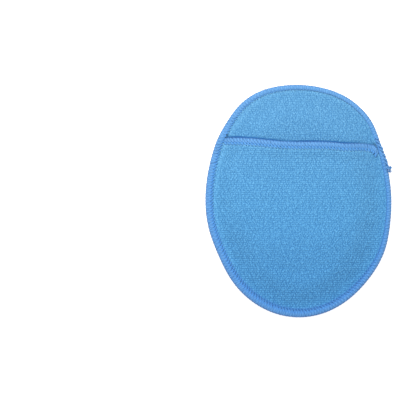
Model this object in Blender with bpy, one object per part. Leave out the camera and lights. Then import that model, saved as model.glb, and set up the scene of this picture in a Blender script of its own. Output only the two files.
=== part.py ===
"""Oval microfibre cleaning pad with a finger pocket, sewn together with overlock seams.

The pad lies flat on its wiping face. +Z points up through the pocket side, +Y towards the end with the
pocket's mouth, and the origin is under the middle of the pad. Lengths are in metres.
"""

import math

import bmesh
import bpy
from mathutils import Matrix, Vector

MM = 0.001

# Outline of the whole pad, seams included
HALF_WIDTH = 64.0 * MM
HALF_LENGTH = 80.0 * MM
SHOULDER_FULLNESS = 0.26

# Layers, from the table upwards, at the middle of the pad
CLOTH_THICKNESS = 1.6 * MM
FOAM_THICKNESS = 4.0 * MM
CLEARANCE = 0.3 * MM

# The same layers pressed together in the edge seam
SEAM_CLOTH_THICKNESS = 1.0 * MM
SEAM_HEIGHT_OFF_TABLE = 1.25 * MM
SEAM_INSET = 5.0 * MM
WIPE_FLAT_INSET = 10.0 * MM
PAD_FULL_INSET = 22.0 * MM
CLOTH_EDGE_INSET = 0.8 * MM
FOAM_EDGE_INSET = 8.0 * MM

# Pocket: the sewn margin, the free panel inside it, and how far it stands off the back
MARGIN_INSET = 8.0 * MM
PANEL_INSET = 8.6 * MM
POCKET_GAP = 4.4 * MM
POCKET_FULL_INSET = 28.0 * MM
POCKET_SHUT_Y = -62.0 * MM
POCKET_OPEN_Y = -20.0 * MM
MOUTH_Y = 41.0 * MM
MOUTH_TILT = math.radians(3.0)
MOUTH_SEAM_RAISE = 1.0 * MM
MOUTH_RAISE_LENGTH = 8.0 * MM

# Overlock threads
LOOPER_WIDTH = 4.2 * MM
LOOPER_THICKNESS = 0.5 * MM
NEEDLE_OFFSET = 4.5 * MM
NEEDLE_THREAD = 0.5 * MM
EDGE_SPLIT_Z = 2.4 * MM
LOOPER_STEP_START = 8.0 * MM
LOOPER_STEP_END = 16.0 * MM

# Loose end of the overlock chain, from the seam outwards
TAIL_PATH = (
    (57.6 * MM, 31.0 * MM),
    (58.6 * MM, 29.2 * MM),
    (59.7 * MM, 27.0 * MM),
    (60.8 * MM, 24.9 * MM),
    (62.0 * MM, 23.0 * MM),
    (62.9 * MM, 21.6 * MM),
)
TAIL_HALF_WIDTHS = (0.7 * MM, 1.0 * MM, 1.1 * MM, 1.1 * MM, 1.1 * MM, 0.9 * MM)
TAIL_HALF_THICKNESS = 0.5 * MM

# How finely the shapes are divided
SEGMENTS = 72
SEAM_SEGMENTS = 96
CORE_INSET = 28.0 * MM
OUTLINE_SAMPLES = 720
MOUTH_STATIONS = 33

CLOTH_BLUE = (0.107, 0.366, 0.708, 1.0)
THREAD_BLUE = (0.138, 0.402, 0.838, 1.0)
FOAM_WHITE = (0.78, 0.78, 0.75, 1.0)


def smooth(value, start, end):
    """Ease from 0 at start to 1 at end."""
    t = min(1.0, max(0.0, (value - start) / (end - start)))
    return t * t * (3.0 - 2.0 * t)


# --- plan shape -------------------------------------------------------------------------------------------


def outline(theta):
    """Point of the pad's outline. The mouth end is a little fuller than an ellipse."""
    c = math.cos(theta)
    s = math.sin(theta)
    fullness = 1.0 + SHOULDER_FULLNESS * max(0.0, s) ** 4
    return Vector((HALF_WIDTH * c * fullness, HALF_LENGTH * s))


def inset_outline(theta, inset):
    """Point a given distance inside the outline."""
    step = 0.001
    along = outline(theta + step) - outline(theta - step)
    inward = Vector((-along.y, along.x)).normalized()
    return outline(theta) + inward * inset


def plan_point(ring, theta):
    """Map a unit disc to the pad: ring 0 is the middle, 1 the core's rim, 2 the outline."""
    if ring <= 1.0:
        return inset_outline(theta, CORE_INSET) * ring
    return inset_outline(theta, CORE_INSET * (2.0 - ring))


def ring_at(inset):
    return 2.0 - inset / CORE_INSET


OUTLINE_POINTS = [outline(2.0 * math.pi * i / OUTLINE_SAMPLES) for i in range(OUTLINE_SAMPLES)]


def inset_at(x, y):
    """Distance of a point from the outline."""
    return min(math.hypot(x - p.x, y - p.y) for p in OUTLINE_POINTS)


# The mouth's edge runs slightly downhill towards +X
MOUTH_ALONG = Vector((math.cos(MOUTH_TILT), -math.sin(MOUTH_TILT)))
MOUTH_INTO_POCKET = Vector((-math.sin(MOUTH_TILT), -math.cos(MOUTH_TILT)))


def depth_in_pocket(x, y):
    """Distance from the mouth's edge into the pocket, negative outside it."""
    return Vector((x, y - MOUTH_Y)).dot(MOUTH_INTO_POCKET)


def mouth_point(along, depth):
    return Vector((0.0, MOUTH_Y)) + MOUTH_ALONG * along + MOUTH_INTO_POCKET * depth


# --- heights of the layers --------------------------------------------------------------------------------


def cloth_thickness(x, y):
    fluff = smooth(inset_at(x, y), SEAM_INSET, PAD_FULL_INSET)
    return SEAM_CLOTH_THICKNESS + (CLOTH_THICKNESS - SEAM_CLOTH_THICKNESS) * fluff


def wipe_low(x, y):
    return SEAM_HEIGHT_OFF_TABLE * (1.0 - smooth(inset_at(x, y), SEAM_INSET, WIPE_FLAT_INSET))


def wipe_high(x, y):
    return wipe_low(x, y) + cloth_thickness(x, y)


def back_low(x, y):
    at_seam = SEAM_HEIGHT_OFF_TABLE + SEAM_CLOTH_THICKNESS + CLEARANCE
    at_middle = CLOTH_THICKNESS + FOAM_THICKNESS + 2.0 * CLEARANCE
    return at_seam + (at_middle - at_seam) * smooth(inset_at(x, y), SEAM_INSET, PAD_FULL_INSET)


def back_high(x, y):
    return back_low(x, y) + cloth_thickness(x, y)


def foam_low(x, y):
    return wipe_high(x, y) + CLEARANCE


def foam_high(x, y):
    return back_low(x, y) - CLEARANCE


def pocket_low(x, y):
    """Underside of the pocket cloth: on the back at the seam, standing off it towards the mouth."""
    near_mouth = 1.0 - smooth(
        depth_in_pocket(x, y), SEAM_INSET, SEAM_INSET + MOUTH_RAISE_LENGTH
    )
    away_from_edge = smooth(inset_at(x, y), MARGIN_INSET, POCKET_FULL_INSET)
    opened = smooth(y, POCKET_SHUT_Y, POCKET_OPEN_Y)
    gap = CLEARANCE + MOUTH_SEAM_RAISE * near_mouth + POCKET_GAP * away_from_edge * opened
    return back_high(x, y) + gap


def pocket_high(x, y):
    return pocket_low(x, y) + cloth_thickness(x, y)


def pocket_middle(x, y):
    return pocket_low(x, y) + cloth_thickness(x, y) / 2.0


def stack_high(x, y):
    """Top of the sewn layers under the edge seam's upper thread."""
    beyond_mouth = smooth(-depth_in_pocket(x, y), LOOPER_STEP_START, LOOPER_STEP_END)
    return pocket_high(x, y) * (1.0 - beyond_mouth) + back_high(x, y) * beyond_mouth


# --- building ---------------------------------------------------------------------------------------------


def finish(bm, name, colour, roughness, collection):
    """Turn a bmesh into an object with its own material."""
    bmesh.ops.recalc_face_normals(bm, faces=bm.faces)
    mesh = bpy.data.meshes.new(name)
    bm.to_mesh(mesh)
    bm.free()
    material = bpy.data.materials.new(name)
    material.use_nodes = True
    shader = material.node_tree.nodes["Principled BSDF"]
    shader.inputs["Base Color"].default_value = colour
    shader.inputs["Roughness"].default_value = roughness
    shader.inputs["Metallic"].default_value = 0.0
    mesh.materials.append(material)
    obj = bpy.data.objects.new(name, mesh)
    collection.objects.link(obj)
    return obj


def spun_layer(lower_rings, upper_rings, closed):
    """Spin a flat profile round the Z axis. Height 0 marks the underside and 1 the top."""
    bm = bmesh.new()
    points = [(ring, 0.0) for ring in lower_rings] + [(ring, 1.0) for ring in reversed(upper_rings)]
    verts = [bm.verts.new((ring, 0.0, height)) for ring, height in points]
    edges = [bm.edges.new(pair) for pair in zip(verts, verts[1:])]
    if closed:
        edges.append(bm.edges.new((verts[-1], verts[0])))
    bmesh.ops.spin(
        bm,
        geom=verts + edges,
        cent=(0.0, 0.0, 0.0),
        axis=(0.0, 0.0, 1.0),
        angle=2.0 * math.pi,
        steps=SEGMENTS,
        use_merge=True,
    )
    bmesh.ops.remove_doubles(bm, verts=bm.verts, dist=1e-6)
    for v in bm.verts:
        ring = math.hypot(v.co.x, v.co.y)
        v.co.xy = plan_point(ring, math.atan2(v.co.y, v.co.x))
    return bm


def bisect_along_mouth(bm, depth, clear_inner):
    """Add a line of edges parallel to the mouth, and clear what lies outside it if asked to."""
    line = mouth_point(0.0, depth)
    return bmesh.ops.bisect_plane(
        bm,
        geom=bm.verts[:] + bm.edges[:] + bm.faces[:],
        plane_co=(line.x, line.y, 0.0),
        plane_no=(MOUTH_INTO_POCKET.x, MOUTH_INTO_POCKET.y, 0.0),
        clear_inner=clear_inner,
    )


def cut_at_mouth(bm):
    """Keep what lies in the pocket, close the cut, and add edges where the cloth bends at its mouth."""
    cut = bisect_along_mouth(bm, CLOTH_EDGE_INSET, clear_inner=True)
    rim = [e for e in cut["geom_cut"] if isinstance(e, bmesh.types.BMEdge)]
    bmesh.ops.holes_fill(bm, edges=rim, sides=0)
    for share in (0.0, 0.33, 0.67, 1.0):
        bisect_along_mouth(bm, SEAM_INSET + share * MOUTH_RAISE_LENGTH, clear_inner=False)


def set_heights(bm, low, high):
    """Give the marked undersides and tops their real heights."""
    for v in bm.verts:
        function = high if v.co.z > 0.5 else low
        v.co.z = function(v.co.x, v.co.y)
    bmesh.ops.triangulate(bm, faces=[f for f in bm.faces if len(f.verts) > 3])


def loft(sections, closed):
    """Skin a row of equal cross-sections, joined end to start when closed and capped when not."""
    bm = bmesh.new()
    rows = [[bm.verts.new(point) for point in section] for section in sections]
    pairs = list(zip(rows, rows[1:]))
    if closed:
        pairs.append((rows[-1], rows[0]))
    else:
        bm.faces.new(rows[0])
        bm.faces.new(rows[-1])
    for row, following in pairs:
        count = len(row)
        for i in range(count):
            j = (i + 1) % count
            bm.faces.new((row[i], row[j], following[j], following[i]))
    bmesh.ops.triangulate(bm, faces=bm.faces[:])
    return bm


def looper_section(at, surface, split, side):
    """L-shaped section of a looper thread: over one face of the cloth and half way across its cut edge.

    at(inset) gives a point of the plan, surface(x, y) the cloth's face, split(x, y) where the upper and
    lower threads meet. side is 1 for the upper thread and -1 for the lower one.
    """
    corners = (
        (0.0, split, CLEARANCE / 2.0),
        (0.0, surface, CLEARANCE + LOOPER_THICKNESS),
        (LOOPER_WIDTH, surface, CLEARANCE + LOOPER_THICKNESS),
        (LOOPER_WIDTH, surface, CLEARANCE),
        (LOOPER_THICKNESS, surface, CLEARANCE),
        (LOOPER_THICKNESS, split, CLEARANCE / 2.0),
    )
    section = []
    for inset, height, offset in corners:
        p = at(inset)
        section.append((p.x, p.y, height(p.x, p.y) + side * offset))
    return section


def needle_section(at, surface):
    """Square section of the needle thread, along the inner side of a seam."""
    section = []
    for inset, offset in ((0.0, 0.0), (0.0, 1.0), (1.0, 1.0), (1.0, 0.0)):
        p = at(NEEDLE_OFFSET + inset * NEEDLE_THREAD)
        section.append((p.x, p.y, surface(p.x, p.y) + CLEARANCE + offset * NEEDLE_THREAD))
    return section


def edge_split(x, y):
    return EDGE_SPLIT_Z


def edge_sections(kind):
    """Cross-sections of one edge thread, once round the pad."""
    sections = []
    for i in range(SEAM_SEGMENTS):

        def at(inset, theta=2.0 * math.pi * i / SEAM_SEGMENTS):
            return inset_outline(theta, inset)

        if kind == "upper":
            sections.append(looper_section(at, stack_high, edge_split, 1.0))
        elif kind == "lower":
            sections.append(looper_section(at, wipe_low, edge_split, -1.0))
        else:
            sections.append(needle_section(at, stack_high))
    return sections


def mouth_reach(direction):
    """Distance along the mouth from its middle to the free panel's corner."""
    reach = 0.0
    while True:
        p = mouth_point(direction * reach, CLOTH_EDGE_INSET)
        if inset_at(p.x, p.y) < PANEL_INSET + CLEARANCE:
            return reach
        reach += 0.1 * MM


def mouth_sections(kind):
    """Cross-sections of one mouth thread, from the left corner of the free panel to the right one."""
    left = -mouth_reach(-1.0)
    right = mouth_reach(1.0)
    sections = []
    for i in range(MOUTH_STATIONS):

        def at(depth, along=left + (right - left) * i / (MOUTH_STATIONS - 1)):
            return mouth_point(along, depth)

        if kind == "upper":
            sections.append(looper_section(at, pocket_high, pocket_middle, 1.0))
        elif kind == "lower":
            sections.append(looper_section(at, pocket_low, pocket_middle, -1.0))
        else:
            sections.append(needle_section(at, pocket_high))
    return sections


def tail_sections():
    """Flattened round sections of the thread tail, lying on the edge seam and ending beyond it."""
    sections = []
    last = len(TAIL_PATH) - 1
    for i, (x, y) in enumerate(TAIL_PATH):
        before = Vector(TAIL_PATH[max(0, i - 1)])
        after = Vector(TAIL_PATH[min(last, i + 1)])
        across = (after - before).normalized().orthogonal()
        inside = Vector((x, y)) * 0.97
        top = stack_high(inside.x, inside.y) + CLEARANCE + LOOPER_THICKNESS
        centre = Vector((x, y, top + CLEARANCE + TAIL_HALF_THICKNESS))
        section = []
        for k in range(8):
            angle = 2.0 * math.pi * k / 8.0
            offset = across * TAIL_HALF_WIDTHS[i] * math.cos(angle)
            rise = TAIL_HALF_THICKNESS * math.sin(angle)
            section.append(centre + Vector((offset.x, offset.y, rise)))
        sections.append(section)
    return sections


def move_origin(obj, point):
    """Put an object's origin on a joint's axis without moving its shape."""
    obj.data.transform(Matrix.Translation(-point))
    obj.location = point


def build():
    for old in list(bpy.data.objects):
        bpy.data.objects.remove(old)
    collection = bpy.data.collections.new("microfibre_cleaning_pad")
    bpy.context.scene.collection.children.link(collection)

    core = [0.0, 0.25, 0.5, 0.75, 1.0]
    flank = [ring_at(inset * MM) for inset in (24.0, 20.0, 17.0, 14.0, 12.0, 10.0, 8.5, 7.0)]
    rim = [ring_at(SEAM_INSET), ring_at(CLOTH_EDGE_INSET)]

    sheet = [0.0, 1.0] + flank + rim
    wipe = spun_layer(sheet, sheet, closed=False)
    set_heights(wipe, wipe_low, wipe_high)
    finish(wipe, "wipe_cloth", CLOTH_BLUE, 0.9, collection)

    foam_rings = [0.0, 1.0] + flank[:6] + [ring_at(FOAM_EDGE_INSET)]
    foam = spun_layer(foam_rings, foam_rings, closed=False)
    set_heights(foam, foam_low, foam_high)
    finish(foam, "foam_core", FOAM_WHITE, 0.95, collection)

    back = spun_layer(sheet, sheet, closed=False)
    set_heights(back, back_low, back_high)
    finish(back, "back_cloth", CLOTH_BLUE, 0.9, collection)

    margin_rings = [ring_at(MARGIN_INSET), ring_at(7.0 * MM), ring_at(6.0 * MM)] + rim
    margin = spun_layer(margin_rings, margin_rings, closed=True)
    cut_at_mouth(margin)
    set_heights(margin, pocket_low, pocket_high)
    finish(margin, "pocket_cloth_margin", CLOTH_BLUE, 0.9, collection)

    panel_rings = core + flank[:6] + [ring_at(PANEL_INSET)]
    panel = spun_layer(panel_rings, panel_rings, closed=False)
    cut_at_mouth(panel)
    set_heights(panel, pocket_low, pocket_high)
    pocket = [finish(panel, "pocket_cloth", CLOTH_BLUE, 0.9, collection)]

    for kind, name in (
        ("needle", "edge_needle_thread"),
        ("upper", "edge_upper_looper_thread"),
        ("lower", "edge_lower_looper_thread"),
    ):
        finish(loft(edge_sections(kind), closed=True), name, THREAD_BLUE, 0.8, collection)

    for kind, name in (
        ("needle", "mouth_needle_thread"),
        ("upper", "mouth_upper_looper_thread"),
        ("lower", "mouth_lower_looper_thread"),
    ):
        thread = loft(mouth_sections(kind), closed=False)
        pocket.append(finish(thread, name, THREAD_BLUE, 0.8, collection))

    finish(loft(tail_sections(), closed=False), "edge_thread_tail", THREAD_BLUE, 0.8, collection)

    # The pocket lifts about a line across the bottom of its free panel
    hinge_y = -HALF_LENGTH + PANEL_INSET
    hinge = Vector((0.0, hinge_y, pocket_high(0.0, hinge_y)))
    for obj in pocket:
        move_origin(obj, hinge)


build()
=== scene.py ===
"""Looks of the oval microfibre cleaning pad: terry cloth, foam, overlock threads, light and camera.

The pad lies on its wiping face with its pocket side up and the pocket's mouth towards +Y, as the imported
model has it. Lengths are in metres.
"""

import math

import bmesh
import bpy
import numpy as np
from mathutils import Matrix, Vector
from mathutils.geometry import delaunay_2d_cdt


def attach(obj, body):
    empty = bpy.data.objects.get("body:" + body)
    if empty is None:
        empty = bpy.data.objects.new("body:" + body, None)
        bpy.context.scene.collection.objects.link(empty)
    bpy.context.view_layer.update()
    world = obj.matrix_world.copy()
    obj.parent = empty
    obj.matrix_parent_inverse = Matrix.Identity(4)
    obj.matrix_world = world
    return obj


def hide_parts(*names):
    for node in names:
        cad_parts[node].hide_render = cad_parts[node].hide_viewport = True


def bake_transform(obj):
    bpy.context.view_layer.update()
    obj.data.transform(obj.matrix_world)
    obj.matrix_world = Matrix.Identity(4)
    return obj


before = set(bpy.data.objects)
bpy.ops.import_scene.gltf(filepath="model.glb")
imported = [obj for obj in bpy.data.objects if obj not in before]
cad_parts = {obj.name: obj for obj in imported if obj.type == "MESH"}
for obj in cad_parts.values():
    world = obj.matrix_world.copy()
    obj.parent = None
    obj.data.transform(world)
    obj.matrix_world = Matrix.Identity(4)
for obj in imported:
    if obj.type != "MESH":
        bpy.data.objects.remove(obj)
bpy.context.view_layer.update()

MM = 0.001

# Plan shape, as in the solids, and a little fuller at the shoulders
HALF_WIDTH = 64.0 * MM
HALF_LENGTH = 80.0 * MM
SHOULDER_FULLNESS = 0.26
SEWN_FULLNESS = 0.010

# Layers, as in the solids, but with a longer slope to full height, a lower pocket and a more slanted mouth
CLOTH = 1.6 * MM
FOAM = 4.0 * MM
CLEARANCE = 0.3 * MM
SEAM_CLOTH = 1.0 * MM
SEAM_LIFT = 1.25 * MM
SEAM_INSET = 5.0 * MM
WIPE_FLAT_INSET = 10.0 * MM
PAD_FULL_INSET = 26.0 * MM
CLOTH_EDGE = 0.8 * MM
FOAM_EDGE = 8.0 * MM
MARGIN_INSET = 8.0 * MM
POCKET_GAP = 3.8 * MM
POCKET_FULL_INSET = 40.0 * MM
POCKET_SHUT_Y = -62.0 * MM
POCKET_OPEN_Y = -20.0 * MM
MOUTH_Y = 41.0 * MM
MOUTH_SLOPE = math.tan(math.radians(3.8))
MOUTH_RAISE = 1.0 * MM
MOUTH_RAISE_LENGTH = 8.0 * MM
MOUTH_DROOP = 6.0 * MM

# Terry pile
PILE = 0.6 * MM
ROW_PITCH = 1.365 * MM
LOOP_PITCH = 1.15 * MM
TOP_STEP_X = LOOP_PITCH / 2.8
TOP_STEP_Y = ROW_PITCH / 2.8
UNDERSIDE_STEP = 2.2 * MM
GRID_JITTER = 0.16
COARSE_JITTER = 0.1
REVERSE_PILE = 0.6  # pile value of the plain reverse
PAD_TURN = math.radians(0.8)  # how far the camera sees the pad turned, which the rows of loops undo
ROW_COS = math.cos(PAD_TURN)
ROW_SIN = math.sin(PAD_TURN)
# rows and columns of loops start here, outside the pad
PILE_X = 0.075
PILE_Y = 0.09

# Overlock seams
EDGE_STITCHES = 198
STITCH = 2.3 * MM
EDGE_NEEDLE_INSET = 4.25 * MM
MOUTH_NEEDLE_INSET = 4.8 * MM
THREAD_OUTER_INSET = 0.7 * MM
LOWER_THREAD_OUTER_INSET = 0.55 * MM
WRAP_CENTRE = 2.2 * MM
WRAP_SHARE = 0.42  # share of the way from cut edge to needle line on which a thread wraps round the edge
THREAD_OFF_CLOTH = 0.3 * MM
NEEDLE_RADIUS = 0.25 * MM
# painted shade on the needle thread
NEEDLE_SHADE = 0.88
DIMPLE_WIDTH = 0.6 * MM
CURVE_STEPS = 3
LOOPER_SIDES = 7
NEEDLE_SIDES = 6
# on the edge (True) and at the mouth (False): stitches that a looper thread slants over, and where it is pinched
SLANT = {True: 1.35, False: 1.9}
PINCH = {True: 0.88, False: 0.72}


# --- plan shape -------------------------------------------


def smooth(value, start, end):
    t = np.clip((value - start) / (end - start), 0.0, 1.0)
    return t * t * (3.0 - 2.0 * t)


def bell(value, centre, width):
    """1 at centre, falling off smoothly to either side."""
    return np.exp(-(((value - centre) / width) ** 2))


def distances(points):
    """Distance along a line of points, from its first one."""
    return np.concatenate([[0.0], np.cumsum(np.linalg.norm(np.diff(points, axis=0), axis=1))])


def unit(vectors):
    return vectors / np.linalg.norm(vectors, axis=-1)[..., None]


def sewn_askew(y):
    """The oval isn't quite even: it leans to the right below its middle and at its shoulders."""
    below = bell(y, -38.0 * MM, 18.0 * MM)
    above = bell(y, 56.0 * MM, 11.0 * MM)
    top = bell(y, 80.0 * MM, 6.0 * MM)
    return 1.4 * MM * below + 1.1 * MM * above - 1.4 * MM * top


def outline(theta):
    c = np.cos(theta)
    s = np.sin(theta)
    fullness = 1.0 + SHOULDER_FULLNESS * np.maximum(0.0, s) ** 4
    y = HALF_LENGTH * s
    fullness += SEWN_FULLNESS * bell(y, 50.0 * MM, 14.0 * MM)
    return np.stack([HALF_WIDTH * c * fullness + sewn_askew(y), y], axis=-1)


class Path:
    """A closed or open line in plan, read by distance along it. side turns its inward direction."""

    def __init__(self, points, closed, side):
        self.closed = closed
        ring = np.vstack([points, points[:1]]) if closed else points
        self.at = distances(ring)
        self.length = self.at[-1]
        self.points = ring
        if closed:
            tangent = np.roll(points, -1, axis=0) - np.roll(points, 1, axis=0)
            tangent = np.vstack([tangent, tangent[:1]])
        else:
            tangent = np.gradient(points, axis=0)
        tangent = unit(tangent)
        self.inward = np.stack([tangent[:, 1], -tangent[:, 0]], axis=-1) * side

    def read(self, s, inset):
        if self.closed:
            s = np.mod(s, self.length)
        place, inward = (
            np.stack([np.interp(s, self.at, line[:, k]) for k in (0, 1)], axis=-1)
            for line in (self.points, self.inward)
        )
        inward = unit(inward)
        return place + inward * np.asarray(inset)[..., None], inward


# Clockwise seen from above, starting on the right where the seam was begun and ended
THETA_START = math.radians(24.0)
EDGE = Path(outline(THETA_START - np.linspace(0.0, 2.0 * np.pi, 2880, endpoint=False)), True, 1.0)

FIELD_STEP = 1.0 * MM
FIELD_X = np.arange(-70.0, 70.1, 1.0) * MM
FIELD_Y = np.arange(-86.0, 86.1, 1.0) * MM


def build_inset_field():
    gx, gy = np.meshgrid(FIELD_X, FIELD_Y, indexing="ij")
    flat = np.stack([gx.ravel(), gy.ravel()], axis=-1)
    ring = EDGE.points[:-1:3]
    best = np.full(len(flat), 1.0)
    for start in range(0, len(flat), 4000):
        part = flat[start : start + 4000]
        d = np.linalg.norm(part[:, None, :] - ring[None, :, :], axis=2)
        best[start : start + 4000] = d.min(axis=1)
    angle = np.arctan2(flat[:, 1] / HALF_LENGTH, (flat[:, 0] - sewn_askew(flat[:, 1])) / HALF_WIDTH)
    rim = outline(angle)
    outside = np.linalg.norm(flat, axis=1) > np.linalg.norm(rim, axis=1)
    best[outside] *= -1.0
    return best.reshape(gx.shape)


def read_field(field, x, y):
    u = np.clip((x - FIELD_X[0]) / FIELD_STEP, 0, len(FIELD_X) - 1.001)
    v = np.clip((y - FIELD_Y[0]) / FIELD_STEP, 0, len(FIELD_Y) - 1.001)
    i, j = u.astype(int), v.astype(int)
    a, b = u - i, v - j
    low = field[i, j] * (1 - a) + field[i + 1, j] * a
    high = field[i, j + 1] * (1 - a) + field[i + 1, j + 1] * a
    return low * (1 - b) + high * b


INSET_FIELD = build_inset_field()


def inset_at(x, y):
    return read_field(INSET_FIELD, x, y)


def mouth_y(x):
    """Line of the pocket's mouth: nearly straight, a little wavy, and drawn down at its right end."""
    wave = 0.55 * MM * np.sin(2.0 * np.pi * (x + 52.0 * MM) / (58.0 * MM)) * (1.0 - smooth(x, 24 * MM, 36 * MM))
    rise = 0.9 * MM * bell(x, 44.0 * MM, 9.0 * MM)
    drop = MOUTH_DROOP * smooth(x, 51.8 * MM, 59.5 * MM)
    return MOUTH_Y - MOUTH_SLOPE * x + wave + rise - drop


def depth_in_pocket(x, y):
    return mouth_y(x) - y


# --- heights of the layers --------------------------------

# Slow waves of each cloth, filled in by the cloth simulation
WAVES = {name: np.zeros((len(FIELD_X), len(FIELD_Y))) for name in ("wipe", "back", "pocket")}


def cloth_thickness(x, y):
    return SEAM_CLOTH + (CLOTH - SEAM_CLOTH) * smooth(inset_at(x, y), SEAM_INSET, PAD_FULL_INSET)


def wipe_low(x, y):
    seam = SEAM_LIFT * (1.0 - smooth(inset_at(x, y), SEAM_INSET, WIPE_FLAT_INSET))
    return seam + read_field(WAVES["wipe"], x, y)


def wipe_high(x, y):
    return wipe_low(x, y) + cloth_thickness(x, y)


def back_low(x, y):
    at_seam = SEAM_LIFT + SEAM_CLOTH + CLEARANCE
    at_middle = CLOTH + FOAM + 2.0 * CLEARANCE
    rise = (at_middle - at_seam) * smooth(inset_at(x, y), SEAM_INSET, PAD_FULL_INSET)
    return at_seam + rise + read_field(WAVES["back"], x, y)


def back_high(x, y):
    return back_low(x, y) + cloth_thickness(x, y)


def pocket_low(x, y):
    near_mouth = 1.0 - smooth(depth_in_pocket(x, y), SEAM_INSET, SEAM_INSET + MOUTH_RAISE_LENGTH)
    away = smooth(inset_at(x, y), MARGIN_INSET, POCKET_FULL_INSET)
    opened = smooth(y, POCKET_SHUT_Y, POCKET_OPEN_Y)
    gap = CLEARANCE + MOUTH_RAISE * near_mouth + POCKET_GAP * away * opened
    wave = read_field(WAVES["pocket"], x, y) - 0.5 * read_field(WAVES["back"], x, y)
    return back_high(x, y) + gap + wave * away


def pocket_high(x, y):
    return pocket_low(x, y) + cloth_thickness(x, y)


def stack_high(x, y):
    """Top of the sewn layers: the pocket cloth below the mouth, the back cloth above it."""
    beyond = smooth(-depth_in_pocket(x, y), 0.8 * MM, 6.5 * MM)
    crossing = 0.5 * MM * bell(depth_in_pocket(x, y), 2.0 * MM, 3.0 * MM)
    return pocket_high(x, y) * (1.0 - beyond) + back_high(x, y) * beyond + crossing


def edge_middle(x, y):
    return (SEAM_LIFT + stack_high(x, y)) / 2.0


def squeeze(z, x, y):
    """Thread rounds the cut edge of the layers off towards their middle height."""
    inset = inset_at(x, y)
    t = np.clip((WRAP_CENTRE - inset) / (WRAP_CENTRE - 0.5 * MM), 0.0, 0.97)
    round_off = (1.0 - t**2.5) ** 0.4
    middle = edge_middle(x, y)
    return np.where(inset < WRAP_CENTRE, middle + (z - middle) * round_off, z)


# --- terry pile -------------------------------------------


def pile_height(x, y, seed):
    """0 to 1: rows of small loops that lean and twist, each a rounded tuft."""
    x, y = x * ROW_COS - y * ROW_SIN, x * ROW_SIN + y * ROW_COS
    rng = np.random.default_rng(seed)
    rows = int(2.0 * PILE_Y / ROW_PITCH)
    columns = int(2.0 * PILE_X / LOOP_PITCH)
    cx = rng.uniform(-0.30, 0.30, (columns, rows)) * LOOP_PITCH
    cy = rng.uniform(-0.14, 0.14, (columns, rows)) * ROW_PITCH
    lean = rng.normal(math.pi / 2.0, 0.7, (columns, rows))
    tall = rng.uniform(0.65, 1.0, (columns, rows))
    long_axis = rng.uniform(0.50, 0.66, (columns, rows)) * MM
    short_axis = rng.uniform(0.38, 0.50, (columns, rows)) * MM
    row = np.floor((y + PILE_Y) / ROW_PITCH).astype(int)
    best = np.zeros_like(x)
    for dj in (-1, 0, 1):
        j = np.clip(row + dj, 0, rows - 1)
        shift = 0.5 * LOOP_PITCH * (j % 2)
        column = np.floor((x + PILE_X - shift) / LOOP_PITCH).astype(int)
        for di in (-1, 0, 1):
            i = np.clip(column + di, 0, columns - 1)
            dx = x + PILE_X - shift - (i + 0.5) * LOOP_PITCH - cx[i, j]
            dy = y + PILE_Y - (j + 0.5) * ROW_PITCH - cy[i, j]
            c = np.cos(lean[i, j])
            s = np.sin(lean[i, j])
            along = (dx * c + dy * s) / long_axis[i, j]
            across = (-dx * s + dy * c) / short_axis[i, j]
            r2 = along**2 + across**2
            best = np.maximum(best, tall[i, j] * np.sqrt(np.clip(1.0 - r2, 0.0, 1.0)))
    return best


# --- meshes -----------------------------------------------


def new_object(name, verts, faces, attributes=()):
    """Smooth-shaded mesh object. faces is an array, or a list of tuples where their sizes differ."""
    mesh = bpy.data.meshes.new(name)
    verts = np.asarray(verts, np.float32)
    mesh.vertices.add(len(verts))
    mesh.vertices.foreach_set("co", verts.ravel())
    if isinstance(faces, np.ndarray):
        sizes = np.full(len(faces), faces.shape[1], np.int32)
        loops = faces.ravel().astype(np.int32)
    else:
        sizes = np.array([len(f) for f in faces], np.int32)
        loops = np.concatenate([np.asarray(f, np.int32) for f in faces])
    mesh.loops.add(len(loops))
    mesh.loops.foreach_set("vertex_index", loops)
    mesh.polygons.add(len(sizes))
    starts = np.concatenate([[0], np.cumsum(sizes)[:-1]]).astype(np.int32)
    mesh.polygons.foreach_set("loop_start", starts)
    mesh.update(calc_edges=True)
    mesh.validate()
    mesh.polygons.foreach_set("use_smooth", np.full(len(mesh.polygons), True))
    for attribute, values in attributes:
        values = np.asarray(values, np.float32)
        kind = "FLOAT" if values.ndim == 1 else "FLOAT_VECTOR"
        layer = mesh.attributes.new(attribute, kind, "POINT")
        layer.data.foreach_set("value" if kind == "FLOAT" else "vector", values.ravel())
    obj = bpy.data.objects.new(name, mesh)
    bpy.context.scene.collection.objects.link(obj)
    return obj


def triangulate(boundary, inside):
    """Constrained triangles over a closed boundary and loose points inside it."""
    points = [Vector(p) for p in np.vstack([boundary, inside])]
    count = len(boundary)
    edges = [(i, (i + 1) % count) for i in range(count)]
    verts, _, faces, _, _, _ = delaunay_2d_cdt(points, edges, [], 1, 1e-9)
    return np.array([tuple(v) for v in verts]), np.array(faces, np.int32)


def grid_inside(step_x, step_y, jitter, keep, seed):
    """Staggered, slightly irregular grid points for which keep(x, y) holds."""
    rng = np.random.default_rng(seed)
    ys = np.arange(-HALF_LENGTH, HALF_LENGTH, step_y)
    xs = np.arange(-HALF_WIDTH, HALF_WIDTH, step_x)
    gx, gy = np.meshgrid(xs, ys)
    gx[1::2] += step_x / 2.0
    gx = gx.ravel() + rng.uniform(-jitter, jitter, gx.size) * step_x
    gy = gy.ravel() + rng.uniform(-jitter, jitter, gy.size) * step_y
    mask = keep(gx, gy)
    return np.stack([gx[mask], gy[mask]], axis=-1)


def rim_triangles(count, offset):
    """Triangles between a boundary of count points and the same points, offset places further on."""
    ring = np.arange(count)
    after = (ring + 1) % count
    rim = np.stack([ring, after, after + offset, ring + offset], axis=-1)
    return np.vstack([rim[:, [0, 1, 2]], rim[:, [0, 2, 3]]])


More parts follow.
